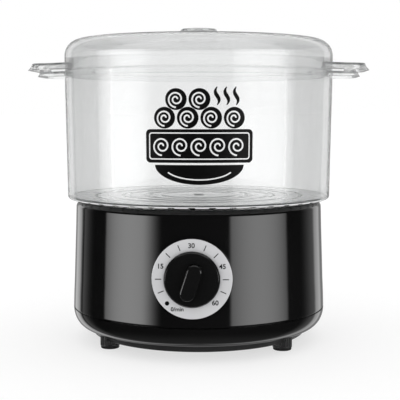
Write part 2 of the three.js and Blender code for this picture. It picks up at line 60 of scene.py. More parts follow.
# Base, from the table up.
CASING_WALL = 2.5
COVER_Z, COVER_TOP_Z, TUB_Z, SEAM_Z, DECK_Z = 6, 10.7, 11, 26, 108.4
SEAM_R, SHOULDER_R, SHOULDER_Z, SHOULDER_ROUND = 98.2, 95.5, 103.9, 4.5
SEAM_GROOVE = 0.6
TUB_FOOT_R, TUB_HOLE_R, TONGUE_R = 86.9, 70, 95.3
MOUTH_R, LEDGE_R, LEDGE_Z = 88.3, 83.5, 101.5
NEST_R = MOUTH_R - 0.4
FOOT_X, FOOT_Y, LEG_R = 64.7, 45.3, 7.3
GLAND_Z = 40

# Tank and heater.
WELL_R, WELL_Z, BASIN_Z, HEATER_R = 54, 62, 90, 36
TANK_FLOOR = 2
HEATER_LOW_Z, HEATER_RIM_R, HEATER_RIM_Z = 57.4, 43.2, 59.9
HEATER_TOP_Z, HEATER_GROOVE_Z = WELL_Z + 3.2, WELL_Z + 2.6
TRAY_WALL, TRAY_R, CHIMNEY_R, CHIMNEY_Z = 1.5, 80.4, 26, 102

# Bowl and lid.
FLOOR_Z, RIM_Z, RIM_R, LOW_R, LOW_Z, HEEL_R = 110.3, 207.7, 103.4, 101.8, 112.8, 99.4
BOWL_WALL = 2.3
FLOOR_TOP = FLOOR_Z + 2
SPIGOT_IN, SPIGOT_OUT, SPIGOT_Z = 84.8, 86.8, 105.7
RING_IN, RING_OUT, NOTCHES = 88.9, 90.9, 44
MOULDING_RADII = (70, 54, 42, 29)
SLOT_RADII, SLOT_PITCH = (38, 59, 80), 13
LID_WALL, LID_CORNER, LID_CORNER_Z = 2.2, 12.5, 219.5
CROWN_R, CROWN_Z = 1179, 235.6
LIP_R, LIP_OUT_R, LIP_Z = 99.2, 100.6, 203.5
DISC_R, DISC_RECESS_R, DISC_TOP_Z, DISC_FLOOR_Z = 13.9, 11.3, 240.8, 239

# Dial and knob.
DIAL_Z, DIAL_R, DIAL_BACK, DIAL_FRONT, DIAL_HOLE_R = 61.2, 28.1, 97.6, 98.6, 6.5
BOSS_R, BOSS_BACK, BOSS_FRONT = 28.5, 90.5, 97.3
KNOB_R, KNOB_FACE_R, KNOB_BACK, KNOB_FRONT, KNOB_TIP = 19.7, 18.6, 98.9, 102.4, 108.9
HUB_R, BORE_R, HUB_END = 5, 3.3, 94.2
GRIP_TURN = 17.7  # degrees


# ---- Mesh helpers ----
def finish_mesh(bm, name, sharp=32):
    """Turns a bmesh in millimetres about the steamer's axis into a smooth shaded object."""
    bmesh.ops.recalc_face_normals(bm, faces=bm.faces)
    mesh = bpy.data.meshes.new(name)
    bm.to_mesh(mesh)
    bm.free()
    mesh.transform(Matrix.Translation((0, AXIS_Y * MM, 0)) @ Matrix.Scale(MM, 4))
    obj = bpy.data.objects.new(name, mesh)
    bpy.context.scene.collection.objects.link(obj)
    shade(obj, sharp)
    return obj


def shade(obj, sharp=32):
    obj.data.polygons.foreach_set("use_smooth", [True] * len(obj.data.polygons))
    obj.data.set_sharp_from_angle(angle=math.radians(sharp))


def held(profile, hold=0.7):
    """Adds a point near both ends of each long side of an outline, so that it shades straight."""
    points = [Vector(point) for point in profile]
    out = []
    for here, after in zip(points, points[1:] + points[:1]):
        out.append(here)
        side = after - here
        on_axis = here.x < 1e-6 and (after.x < 1e-6 or after is points[0])
        if side.length > 5 * hold and not on_axis:
            step = side.normalized() * hold
            out += [here + step, after - step]
    return out


def turned(profile, facets=FACETS):
    """A bmesh of a closed (radius, height) outline turned about Z. An end on the axis closes in a point."""
    bm = bmesh.new()
    rings = []
    for r, z in held(profile):
        if r < 1e-6:
            rings.append([bm.verts.new((0, 0, z))])
            continue
        angles = (2 * math.pi * k / facets for k in range(facets))
        rings.append([bm.verts.new((r * math.cos(a), r * math.sin(a), z)) for a in angles])
    pairs = list(zip(rings, rings[1:]))
    if len(rings[0]) > 1:
        pairs.append((rings[-1], rings[0]))
    for low, high in pairs:
        for k in range(facets):
            n = (k + 1) % facets
            corners = [low[k % len(low)], low[n % len(low)], high[n % len(high)], high[k % len(high)]]
            corners = list(dict.fromkeys(corners))
            if len(corners) > 2:
                bm.faces.new(corners)
    return bm


def rounded(points, steps=4):
    """Rounds each (r, z, fillet) corner of an outline; a corner without a fillet stays sharp."""
    out = []
    for k, point in enumerate(points):
        if len(point) == 2 or point[2] == 0:
            out.append(point[:2])
            continue
        here = Vector(point[:2])
        before = Vector(points[k - 1][:2]) - here
        after = Vector(points[(k + 1) % len(points)][:2]) - here
        half = before.angle(after) / 2
        reach = point[2] / math.tan(half)
        centre = here + (before.normalized() + after.normalized()).normalized() * point[2] / math.sin(half)
        first = here + before.normalized() * reach - centre
        last = here + after.normalized() * reach - centre
        turn = first.angle_signed(last)
        for step in range(steps + 1):
            spoke = first.copy()
            spoke.rotate(Matrix.Rotation(-turn * step / steps, 2))
            out.append(tuple(centre + spoke))
    return out


def arc(r, z, a, b, start, end, steps):
    turns = (math.radians(start + (end - start) * k / steps) for k in range(steps + 1))
    return [(r + a * math.cos(t), z + b * math.sin(t)) for t in turns]


def prism(outline, z0, z1, bevel=0.0):
    """A bmesh of a flat outline from z0 to z1, with its top edge bevelled."""
    bm = bmesh.new()
    bottom = [bm.verts.new((x, y, z0)) for x, y in outline]
    face = bm.faces.new(bottom)
    top = bmesh.ops.extrude_face_region(bm, geom=[face])["geom"]
    for vert in (g for g in top if isinstance(g, bmesh.types.BMVert)):
        vert.co.z = z1
    if bevel:
        edges = [e for e in bm.edges if all(abs(v.co.z - z1) < 1e-4 for v in e.verts)]
        bmesh.ops.bevel(bm, geom=edges, offset=bevel, segments=4, affect="EDGES", profile=0.5)
    return bm


def arc_slot(radius, length, width, steps=6):
    """The outline of a round ended slot bent along a circle, crossing the X axis."""
    half = (length - width) / 2 / radius
    w = width / 2

    def on(r, angle):
        return Vector((r * math.cos(angle), r * math.sin(angle)))

    outline = [on(radius + w, -half + 2 * half * k / steps) for k in range(steps + 1)]
    for side, sign in ((half, 1), (-half, -1)):
        middle = on(radius, side)
        if sign < 0:
            outline += [on(radius - w, half - 2 * half * k / steps) for k in range(steps + 1)]
        for k in range(1, steps):
            t = math.pi * k / steps
            if sign > 0:
                spoke = Vector((math.cos(t), math.sin(t))) * w
            else:
                spoke = -Vector((math.cos(t), math.sin(t))) * w
            spoke.rotate(Matrix.Rotation(side, 2))
            outline.append(middle + spoke)
    return [tuple(p) for p in outline]


def merged(pieces):
    """One bmesh of several that don't touch."""
    whole = bmesh.new()
    for piece in pieces:
        mesh = bpy.data.meshes.new("scratch")
        bmesh.ops.recalc_face_normals(piece, faces=piece.faces)
        piece.to_mesh(mesh)
        piece.free()
        whole.from_mesh(mesh)
        bpy.data.meshes.remove(mesh)
    return whole


def moved(bm, matrix):
    bmesh.ops.transform(bm, matrix=matrix, verts=bm.verts)
    return bm


def copies(make, count, start=0.0):
    """count copies of what make() returns, evenly turned about Z."""
    return [
        moved(make(), Matrix.Rotation(2 * math.pi * (k + start) / count, 4, "Z")) for k in range(count)
    ]


def carved(obj, operation, bm, sharp=32):
    """Joins a bmesh to an object, or cuts it away."""
    tool = finish_mesh(bm, "tool")
    boolean = obj.modifiers.new("boolean", "BOOLEAN")
    boolean.operation = operation
    boolean.object = tool
    boolean.solver = "MANIFOLD"
    bpy.context.view_layer.update()
    evaluated = obj.evaluated_get(bpy.context.evaluated_depsgraph_get())
    mesh = bpy.data.meshes.new_from_object(evaluated)
    old = obj.data
    obj.modifiers.clear()
    obj.data = mesh
    mesh.name = obj.name
    bpy.data.meshes.remove(old)
    bpy.data.objects.remove(tool)
    shade(obj, sharp)
    return obj


def to_dial(bm):
    """Turns a piece modelled with its axis on +Z to face forward, on the dial's axis."""
    return moved(bm, Matrix.Translation((0, 0, DIAL_Z)) @ Matrix.Rotation(math.pi / 2, 4, "X"))


# ---- Materials ----
NOISE_SPAN = (0.3, 0.7)  # where most of a noise's values lie


class Nodes:
    """A Principled material and short calls for its procedural nodes."""

    def __init__(self, name, **sockets):
        self.material = bpy.data.materials.new(name)
        self.material.use_nodes = True
        self.tree = self.material.node_tree
        self.shader = self.tree.nodes["Principled BSDF"]
        self.coords = self.tree.nodes.new("ShaderNodeTexCoord").outputs["Object"]
        for socket, value in sockets.items():
            self.shader.inputs[socket.replace("_", " ")].default_value = value

    def noise(self, scale, detail, stretch=(1, 1, 1)):
        mapping = self.tree.nodes.new("ShaderNodeMapping")
        mapping.inputs["Scale"].default_value = stretch
        self.tree.links.new(self.coords, mapping.inputs["Vector"])
        node = self.tree.nodes.new("ShaderNodeTexNoise")
        node.inputs["Scale"].default_value = scale
        node.inputs["Detail"].default_value = detail
        node.inputs["Roughness"].default_value = 0.5
        self.tree.links.new(mapping.outputs["Vector"], node.inputs["Vector"])
        return node.outputs["Fac"]

    def tint(self, fac, dark, light):
        ramp = self.tree.nodes.new("ShaderNodeValToRGB")
        for stop, position, colour in zip(ramp.color_ramp.elements, NOISE_SPAN, (dark, light)):
            stop.position = position
            stop.color = (*colour, 1)
        self.tree.links.new(fac, ramp.inputs["Fac"])
        self.tree.links.new(ramp.outputs["Color"], self.shader.inputs["Base Color"])

    def roughness(self, fac, low, high):
        node = self.tree.nodes.new("ShaderNodeMapRange")
        node.inputs["From Min"].default_value, node.inputs["From Max"].default_value = NOISE_SPAN
        node.inputs["To Min"].default_value = low
        node.inputs["To Max"].default_value = high
        self.tree.links.new(fac, node.inputs["Value"])
        self.tree.links.new(node.outputs["Result"], self.shader.inputs["Roughness"])

    def bump(self, fac, distance):
        node = self.tree.nodes.new("ShaderNodeBump")
        node.inputs["Distance"].default_value = distance
        self.tree.links.new(fac, node.inputs["Height"])
        self.tree.links.new(node.outputs["Normal"], self.shader.inputs["Normal"])


def grey(value):
    return (value, value, value * 1.02)


def plastic(name, dark, light, rough, bump_scale, bump_depth, **sockets):
    nodes = Nodes(name, **sockets)
    nodes.tint(nodes.noise(9, 4), dark, light)
    nodes.roughness(nodes.noise(38, 5), *rough)
    nodes.bump(nodes.noise(bump_scale, 2), bump_depth)
    return nodes.material


gloss_black = plastic("gloss_black", grey(0.004), grey(0.006), (0.05, 0.085), 260, 0.000004)
matt_black = plastic("matt_black", grey(0.010), grey(0.016), (0.38, 0.52), 900, 0.00004)
satin_black = plastic("satin_black", grey(0.005), grey(0.008), (0.12, 0.17), 700, 0.000006)
rubber = plastic("rubber", grey(0.012), grey(0.02), (0.7, 0.9), 1200, 0.00006)
silicone = plastic("silicone", (0.7, 0.67, 0.6), (0.78, 0.75, 0.69), (0.5, 0.7), 800, 0.00003)
nylon = plastic("nylon", (0.74, 0.71, 0.61), (0.82, 0.79, 0.7), (0.35, 0.5), 800, 0.00002)
print_black = plastic(
    "print_black", grey(0.002), grey(0.004), (0.4, 0.5), 1400, 0.00001, Specular_IOR_Level=0.15
)


def metal(name, dark, light, rough, stretch):
    nodes = Nodes(name, Metallic=1.0)
    nodes.tint(nodes.noise(30, 5, stretch), dark, light)
    nodes.roughness(nodes.noise(60, 4, stretch), *rough)
    nodes.bump(nodes.noise(420, 3, stretch), 0.00001)
    return nodes.material


dial_silver = plastic("dial_silver", grey(0.7), grey(0.73), (0.32, 0.42), 900, 0.000006, Metallic=0.15)
cast_aluminium = metal("cast_aluminium", grey(0.5), grey(0.6), (0.35, 0.5), (1, 1, 1))
zinc_steel = metal("zinc_steel", grey(0.45), grey(0.56), (0.25, 0.4), (1, 1, 6))
brass = metal("brass", (0.55, 0.4, 0.14), (0.68, 0.52, 0.22), (0.25, 0.4), (1, 1, 4))


def braid():
    """The woven sleeve of the internal leads."""
    nodes = Nodes("lead_insulation")
    nodes.tint(nodes.noise(700, 2), (0.66, 0.63, 0.56), (0.85, 0.82, 0.76))
    nodes.roughness(nodes.noise(300, 2), 0.7, 0.9)
    nodes.bump(nodes.noise(1500, 1), 0.0001)
    return nodes.material


def clear_plastic():
    """Clear moulded plastic that darkens a little with the length of the way through it."""
    nodes = Nodes("clear_plastic", IOR=1.49, Alpha=0.8)
    nodes.shader.inputs["Transmission Weight"].default_value = 1.0
    nodes.tint(nodes.noise(5, 2), (0.962, 0.966, 0.966), (0.975, 0.978, 0.978))
    nodes.roughness(nodes.noise(40, 4), 0.0, 0.02)
    nodes.bump(nodes.noise(26, 2, (1, 1, 0.12)), 0.00004)
    smoke = nodes.tree.nodes.new("ShaderNodeVolumeAbsorption")
    smoke.inputs["Color"].default_value = (0.5, 0.515, 0.515, 1)
    smoke.inputs["Density"].default_value = 48
    nodes.tree.links.new(smoke.outputs["Volume"], nodes.tree.nodes["Material Output"].inputs["Volume"])
    return nodes.material


def frosted_plastic():
    """The milky finish of the bowl's floor and underside."""
    nodes = Nodes("frosted_plastic", IOR=1.49)
    nodes.shader.inputs["Transmission Weight"].default_value = 0.1
    nodes.tint(nodes.noise(60, 3), (0.86, 0.87, 0.87), (0.93, 0.94, 0.94))
    nodes.roughness(nodes.noise(300, 3), 0.1, 0.16)
    nodes.bump(nodes.noise(600, 2), 0.00001)
    return nodes.material


lead_insulation = braid()
frosted = frosted_plastic()
clear = clear_plastic()


def place(obj, material, body, slot, *nodes):
    """Gives a piece its material and body, and hides the CAD nodes that it stands for; slot is not used."""
    obj.data.materials.clear()
    obj.data.materials.append(material)
    if nodes:
        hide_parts(*nodes)
    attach(obj, body)
    return obj


# ---- Base casing ----
housing = finish_mesh(
    turned(
        rounded(
            [
                (SEAM_R - CASING_WALL, SEAM_Z + SEAM_GROOVE),
                (SEAM_R, SEAM_Z + SEAM_GROOVE, 0.5),
                (97.9, 37),
                (97.35, 49),
                (96.9, 62),
                (96.45, 75),
                (95.95, 88),
                (SHOULDER_R, SHOULDER_Z),
            ]
            + arc(SHOULDER_R - SHOULDER_ROUND, SHOULDER_Z, SHOULDER_ROUND, SHOULDER_ROUND, 9, 90, 10)
            + [
                (90, DECK_Z),
                (MOUTH_R, DECK_Z, 0.6),
                (MOUTH_R, LEDGE_Z),
                (LEDGE_R, LEDGE_Z),
                (LEDGE_R, LEDGE_Z - CASING_WALL),
                (SHOULDER_R - CASING_WALL, LEDGE_Z - CASING_WALL),
            ]
        )
    ),
    "housing_shell",
)
place(housing, gloss_black, "base", "gloss_black", "base_housing")

boss_outline = [
    (0, BOSS_BACK),
    (BOSS_R, BOSS_BACK),
    (BOSS_R, BOSS_FRONT, 0.5),
    (7, BOSS_FRONT),
    (5.6, 95),
    (0, 95),
]
boss = finish_mesh(to_dial(turned(rounded(boss_outline), 128)), "dial_boss")
place(boss, gloss_black, "base", "gloss_black")

TUB_CURVE = (SEAM_R - TUB_FOOT_R, SEAM_Z - TUB_Z)
tub = finish_mesh(
    turned(
        [(TUB_HOLE_R, TUB_Z)]
        + arc(TUB_FOOT_R, SEAM_Z, *TUB_CURVE, -90, 0, 28)
        + [(TONGUE_R, SEAM_Z), (TONGUE_R, SEAM_Z + 5), (TONGUE_R - 2, SEAM_Z + 5)]
        + arc(TUB_FOOT_R, SEAM_Z, TONGUE_R - 2 - TUB_FOOT_R, TUB_CURVE[1] - CASING_WALL, 0, -90, 10)
        + [(TUB_HOLE_R, TUB_Z + CASING_WALL)]
    ),
    "tub_shell",
)
place(tub, gloss_black, "base", "gloss_black", "base_tub")

cover_outline = [
    (0, COVER_Z),
    (83, COVER_Z, 1.2),
    (85.2, COVER_TOP_Z, 0.4),
    (80.5, COVER_TOP_Z),
    (79.5, COVER_TOP_Z - CASING_WALL),
    (0, COVER_TOP_Z - CASING_WALL),
]
cover = finish_mesh(turned(rounded(cover_outline)), "cover_plate")


def ribbed_leg():
    """The outline of a round leg with fine upright ribs."""
    ribs = 24
    outline = []
    for k in range(ribs * 4):
        r = LEG_R - (0.35 if k % 4 in (0, 3) else 0)
        a = 2 * math.pi * k / (ribs * 4)
        outline.append((r * math.cos(a), r * math.sin(a)))
    return outline


for sx in (-1, 1):
    for sy in (-1, 1):
        spot = Matrix.Translation((sx * FOOT_X, sy * FOOT_Y, 0))
        carved(cover, "UNION", moved(prism(ribbed_leg(), 3.4, COVER_TOP_Z), spot))
        collar = [(0, 1.6), (LEG_R, 1.6, 0.7), (LEG_R, 3.6, 0.5), (0, 3.6)]
        carved(cover, "UNION", moved(turned(rounded(collar), 96), spot))
        recess = [(0, 0), (5.3, 0), (5.3, 5.6), (0, 5.6)]
        carved(cover, "DIFFERENCE", moved(turned(recess, 48), spot))
        pad_outline = [(0, 0), (6.9, 0, 0.6), (6.9, 1.3), (5, 1.3), (5, 3.3), (0, 3.3)]
        foot = finish_mesh(moved(turned(rounded(pad_outline), 64), spot), "foot")
        side = ("rear" if sy > 0 else "front") + ("_right" if sx > 0 else "_left")
        foot.name = "foot_" + side
        place(foot, rubber, "base", "rubber", "foot_pad_" + side)
vent = [(37, -1.5), (53, -1.5), (53, 1.5), (37, 1.5)]
carved(cover, "DIFFERENCE", merged(copies(lambda: prism(vent, 0, 12), 8, 0.5)))
place(cover, matt_black, "base", "matt_black", "bottom_cover")

gland = finish_mesh(
    moved(
        turned(
            rounded(
                [
                    (3.4, 92.3),
                    (7.5, 92.3, 0.4),
                    (7.5, 94.5),
                    (5.2, 94.5),
                    (5.2, 98.1),
                    (7.5, 98.1),
                    (7.5, 100.6, 0.8),
                    (3.4, 100.6, 0.5),
                ]
            ),
            64,
        ),
        Matrix.Translation((0, 0, GLAND_Z)) @ Matrix.Rotation(-math.pi / 2, 4, "X"),
    ),
    "cord_gland_ring",
)
place(gland, matt_black, "base", "matt_black", "cord_gland")

# ---- Tank, heating plate and tray ----
flange = LEDGE_Z + GAP
tank = finish_mesh(
    turned(
        rounded(
            [
                (HEATER_R, WELL_Z),
                (WELL_R, WELL_Z, 2),
                (WELL_R + 1.5, BASIN_Z, 1),
                (81.5, BASIN_Z, 3),
                (LEDGE_R - GAP, flange),
                (NEST_R, flange),
                (NEST_R, flange + 1.8, 0.6),
                (81.2, flange + 1.8, 0.6),
                (80.6, BASIN_Z + TANK_FLOOR, 2.5),
                (WELL_R - 0.5, BASIN_Z + TANK_FLOOR, 1.5),
                (WELL_R - 2.2, WELL_Z + TANK_FLOOR, 2),
                (HEATER_R, WELL_Z + TANK_FLOOR),
            ]
        )
    ),
    "tank_shell",
)
place(tank, matt_black, "base", "matt_black", "water_tank")

plate = finish_mesh(
    turned(
        rounded(
            [
                (0, HEATER_LOW_Z),
                (HEATER_RIM_R, HEATER_LOW_Z),
                (HEATER_RIM_R, HEATER_RIM_Z, 0.4),
                (HEATER_R - GAP, HEATER_RIM_Z),
                (HEATER_R - GAP, HEATER_TOP_Z, 1.2),
                (30, HEATER_TOP_Z),
                (29, HEATER_GROOVE_Z),
                (27, HEATER_GROOVE_Z),
                (26, HEATER_TOP_Z),
                (0, HEATER_TOP_Z),
            ]
        ),
        128,
    ),
    "heater_dish",
)
place(plate, cast_aluminium, "base", "cast_aluminium", "heating_plate")

tray_z = BASIN_Z + 4.5
tray_top = LEDGE_Z + 2.4
tray = finish_mesh(
    turned(
        rounded(
            [
                (CHIMNEY_R, tray_z),
                (TRAY_R, tray_z, 2.2),
                (TRAY_R, tray_top),
                (NEST_R, tray_top),
                (NEST_R, tray_top + TRAY_WALL, 0.5),
                (78.8, tray_top + TRAY_WALL, 0.6),
                (78.6, tray_z + TRAY_WALL, 2),
                (CHIMNEY_R + 1.6, tray_z + TRAY_WALL, 1),
                (CHIMNEY_R + 1.6, CHIMNEY_Z, 0.5),
                (CHIMNEY_R, CHIMNEY_Z, 0.5),
            ]
        )
    ),
    "tray_dish",
)
place(tray, matt_black, "drip_tray", "matt_black", "drip_tray")

# ---- Dial ----
dial_outline = [
    (DIAL_HOLE_R, DIAL_BACK),
    (DIAL_R, DIAL_BACK),
    (DIAL_R, DIAL_FRONT, 0.45),
    (DIAL_HOLE_R, DIAL_FRONT),
]
dial = finish_mesh(to_dial(turned(rounded(dial_outline), 160)), "dial_ring")
place(dial, dial_silver, "base", "dial_silver", "dial_plate")

START_CLOCK, CLOCK_PER_MINUTE = -135, 4.5  # degrees, clockwise from the top
MARK_SINK, MARK_THICK = 0.02, 0.06
NUMERAL_R, NUMERAL_HEIGHT = 23.4, 3.3


def dial_spot(radius, clock):
    """Where a mark's middle goes on the dial; the scale is printed 0.4 off centre."""
    a = math.radians(clock)
    return Matrix.Translation((radius * math.sin(a) - 0.4, radius * math.cos(a), DIAL_FRONT))


def tick(clock, inner, outer, width):
    outline = [(-width / 2, inner), (width / 2, inner), (width / 2, outer), (-width / 2, outer)]
    bm = prism(outline, DIAL_FRONT - MARK_SINK, DIAL_FRONT + MARK_THICK)
    return moved(bm, Matrix.Rotation(-math.radians(clock), 4, "Z"))


def lettering(text, height):
    """Generic numerals as a thin solid, centred on the origin."""
    curve = bpy.data.curves.new("text", "FONT")
    curve.body = text
    curve.size = height / 0.7
    curve.align_x = "CENTER"
    curve.align_y = "CENTER"
    curve.extrude = (MARK_THICK + MARK_SINK) / 2
    curve.offset = height * 0.03
    obj = bpy.data.objects.new("text", curve)
    bpy.context.scene.collection.objects.link(obj)
    bpy.context.view_layer.update()
    mesh = bpy.data.meshes.new_from_object(obj.evaluated_get(bpy.context.evaluated_depsgraph_get()))
    bm = bmesh.new()
    bm.from_mesh(mesh)
    bmesh.ops.remove_doubles(bm, verts=bm.verts, dist=1e-4)
    bpy.data.objects.remove(obj)
    bpy.data.curves.remove(curve)
    bpy.data.meshes.remove(mesh)
    return moved(bm, Matrix.Translation((0, 0, MARK_THICK / 2)))


marks = []
for minutes in range(0, 61, 5):
    if minutes % 15:
        marks.append(tick(START_CLOCK + CLOCK_PER_MINUTE * minutes, 21.4, 25.7, 0.6))
for minutes in (15, 30, 45, 60):
    spot = dial_spot(NUMERAL_R, START_CLOCK + CLOCK_PER_MINUTE * minutes)
    marks.append(moved(lettering(str(minutes), NUMERAL_HEIGHT), spot))
dot = [(1.55 * math.cos(t / 5), 1.55 * math.sin(t / 5)) for t in range(31)]
marks.append(moved(prism(dot, -MARK_SINK, MARK_THICK), dial_spot(24, START_CLOCK)))
marks.append(moved(lettering("0/min", 2.8), dial_spot(NUMERAL_R, START_CLOCK - 20)))
scale_marks = finish_mesh(to_dial(merged(marks)), "dial_marks")
place(scale_marks, print_black, "base", "dial_silver")

# ---- Knob ----
knob = finish_mesh(
    to_dial(
        turned(
            rounded(
                [
                    (0, KNOB_FRONT - 0.9),
                    (BORE_R, KNOB_FRONT - 0.9),
                    (BORE_R, HUB_END),
                    (HUB_R, HUB_END),
                    (HUB_R, KNOB_BACK),
                    (KNOB_R, KNOB_BACK, 0.3),
                    (KNOB_R, 100.9, 0.4),
                    (KNOB_FACE_R, KNOB_FRONT, 0.5),
                    (0, KNOB_FRONT),
                ]
            ),
            128,
        )
    ),
    "knob_disc",
)


def stadium(half_width, low, high, steps=20):
    """A round ended bar along Y from low to high."""
    top = arc(0, high - half_width, half_width, half_width, 0, 180, steps)
    return top + [(-x, low + high - y) for x, y in top]


grip = prism(stadium(5.25, -14.4, 11.6), 101.7, KNOB_TIP, bevel=1.3)
carved(knob, "UNION", to_dial(moved(grip, Matrix.Rotation(-math.radians(GRIP_TURN), 4, "Z"))))
place(knob, satin_black, "timer_knob", "gloss_black", "knob")


# ---- Bowl and lid ----
def handle(root, tip, reach, flare, top, bottom, skin, tooth=None):
    """A hollow side handle along +X: a flat tongue with a flared lip, open underneath."""
    corner = 13
    edge = 0.6

    def outline(inset, grow):
        x, y, root_y = reach - inset + grow, tip - inset + grow, root - inset + grow
        c = corner - inset + grow
        points = []
        for k in range(13):
            t = math.radians(90 * k / 12)
            points.append((x - c + c * math.sin(t), y - c + c * math.cos(t)))
        half = [(90, root_y)] + points
        return half + [(px, -py) for px, py in reversed(half)]

    def tongue(inset, z_top, z_low, z_end):
        levels = [(z, grow) for grow, z in arc(-edge, z_top - edge, edge, edge, 90, 0, 5)]
        for k in range(1, 5):
            t = k / 4
            levels.append((z_top - edge + (z_low - z_top + edge) * t, flare * t**1.6))
        levels.append((z_end, flare))
        bm = bmesh.new()
        rings = [[bm.verts.new((x, y, z)) for x, y in outline(inset, grow)] for z, grow in levels]
        count = len(rings[0])
        for low, high in zip(rings, rings[1:]):
            for k in range(count):
                bm.faces.new([low[k], low[(k + 1) % count], high[(k + 1) % count], high[k]])
        bm.faces.new(rings[0])
        bm.faces.new(rings[-1])
        return bm

    solid = finish_mesh(tongue(0, top, bottom, bottom - 3), "handle")
    carved(solid, "DIFFERENCE", tongue(skin, top - skin, bottom - skin, bottom - 8))
    low = bottom - 12
    slab = prism([(80, -80), (150, -80), (150, 80), (80, 80)], low, bottom)
    if tooth:
        slab_obj = finish_mesh(slab, "slab")
        x0, x1, z = tooth
        carved(slab_obj, "DIFFERENCE", prism([(x0, -90), (x1, -90), (x1, 90), (x0, 90)], z, bottom + 1))
        slab = to_bmesh(slab_obj)
    carved(solid, "DIFFERENCE", slab)
    wall = [(102 * math.cos(t / 20), 102 * math.sin(t / 20)) for t in range(126)]
    carved(solid, "DIFFERENCE", prism(wall, bottom - 20, top + 5))
    return to_bmesh(solid)


def to_bmesh(obj):
    """The object's mesh back in millimetres about the axis; the object itself is removed."""
    bm = bmesh.new()
    bm.from_mesh(obj.data)
    bpy.data.objects.remove(obj)
    moved(bm, Matrix.Scale(1 / MM, 4) @ Matrix.Translation((0, -AXIS_Y * MM, 0)))
    return bm


def add_handles(obj, **size):
    for turn in (0, math.pi):
        carved(obj, "UNION", moved(handle(**size), Matrix.Rotation(turn, 4, "Z")))


def floor_ring(radius):
    """A low half round moulding on the bowl's floor, from the outside in."""
    return arc(radius, FLOOR_TOP, 0.9, 0.5, 0, 180, 8)


bowl = finish_mesh(
    turned(
        rounded(
            [(0, FLOOR_Z)]
            + [(SPIGOT_IN, FLOOR_Z, 0.3), (SPIGOT_IN, SPIGOT_Z, 0.4)]
            + [(SPIGOT_OUT, SPIGOT_Z, 0.4), (SPIGOT_OUT, FLOOR_Z, 0.3)]
            + arc(HEEL_R, LOW_Z, LOW_R - HEEL_R, LOW_Z - FLOOR_Z, -90, 0, 10)
            + [(RIM_R, RIM_Z, 0.35), (RIM_R - BOWL_WALL, RIM_Z, 0.35)]
            + arc(HEEL_R - 1, FLOOR_TOP + 1.7, LOW_R - BOWL_WALL - HEEL_R + 1, 1.7, 0, -90, 6)
            + [point for r in MOULDING_RADII for point in floor_ring(r)]
            + [(4, FLOOR_TOP), (3.4, FLOOR_TOP + 0.8, 0.3), (0, FLOOR_TOP + 0.8)]
        )
    ),
    "bowl_shell",
)
slots = []
for radius in SLOT_RADII:
    count = math.floor(2 * math.pi * radius / SLOT_PITCH)
    slots += copies(lambda: prism(arc_slot(radius, 7.6, 3), FLOOR_Z - 1, FLOOR_TOP + 2), count, 0.5)
carved(bowl, "DIFFERENCE", merged(slots))
drain = [(87, -2.3), (103, -2.3), (103, 2.3), (87, 2.3)]
carved(bowl, "DIFFERENCE", merged(copies(lambda: prism(drain, FLOOR_Z - 1, FLOOR_Z + 0.9), NOTCHES)))
ring_low, ring_high = DECK_Z + GAP, FLOOR_Z + 1
ring = [(RING_IN, ring_low), (RING_OUT, ring_low), (RING_OUT, ring_high), (RING_IN, ring_high)]
castle = finish_mesh(turned(ring), "castle")
notch = [(86, -2), (93, -2), (93, 2), (86, 2)]
carved(castle, "DIFFERENCE", merged(copies(lambda: prism(notch, DECK_Z - 1, FLOOR_Z + 0.9), NOTCHES)))
carved(bowl, "UNION", to_bmesh(castle))
add_handles(bowl, root=43, tip=27, reach=121.7, flare=1.5, top=207.4, bottom=203.6, skin=1.8)
place(bowl, clear, "bowl", "clear_plastic", "bowl")


def is_frosted(face):
    """True on the bowl's underside, on its floor and on the walls of the floor's slots."""
    height = face.center.z / MM
    reach = math.hypot(face.center.x, face.center.y - AXIS_Y * MM) / MM
    if face.normal.z < -0.45:
        return height < LOW_Z
    if face.normal.z > 0.7:
        return height < FLOOR_TOP + 1 and reach < 99
    return abs(face.normal.z) < 0.3 and FLOOR_Z + 0.1 < height < FLOOR_TOP - 0.1 and reach < 84


bowl.data.materials.append(frosted)
for face in bowl.data.polygons:
    if is_frosted(face):
        face.material_index = 1


def crown(r, drop=0.0):
    """The height of the lid's shallow crown at a radius, less a drop."""
    return CROWN_Z - CROWN_R + math.sqrt(CROWN_R**2 - r**2) - drop


inner_corner = LID_CORNER - LID_WALL
corner_r = RIM_R - LID_CORNER
crown_radii = [85, 78, 70, 60, 50, 40, 30, 20]
lid = finish_mesh(
    turned(
        rounded(
            [(0, crown(0, LID_WALL))]
            + [(r, crown(r, LID_WALL)) for r in reversed(crown_radii)]
            + arc(corner_r, LID_CORNER_Z, inner_corner, inner_corner, 84, 0, 14)
            + [
                (RIM_R - BOWL_WALL, RIM_Z + 9, 8),
                (LIP_R, RIM_Z + 1, 6),
                (LIP_R, LIP_Z, 0.5),
                (LIP_OUT_R, LIP_Z, 0.4),
                (LIP_OUT_R, RIM_Z + GAP),
                (RIM_R, RIM_Z + GAP, 0.35),
            ]
            + arc(corner_r, LID_CORNER_Z, LID_CORNER, LID_CORNER, 0, 85.5, 18)
            + [(r, crown(r)) for r in crown_radii]
            + [
                (DISC_R + 0.5, crown(DISC_R + 0.5), 0.5),
                (DISC_R, DISC_TOP_Z, 0.7),
                (DISC_RECESS_R, DISC_TOP_Z, 0.3),
                (DISC_RECESS_R, DISC_FLOOR_Z, 0.3),
                (3.4, DISC_FLOOR_Z),
                (3.0, DISC_FLOOR_Z + 0.6, 0.2),
                (0, DISC_FLOOR_Z + 0.6),
            ]
        )
    ),
    "lid_shell",
)
carved(lid, "DIFFERENCE", merged(copies(lambda: prism(arc_slot(62, 7, 2.6), 225, 240), 4)))
add_handles(
    lid, root=47, tip=31, reach=126.6, flare=3.2, top=213.5, bottom=208.3, skin=1.8, tooth=(109, 118, 206.9)
)
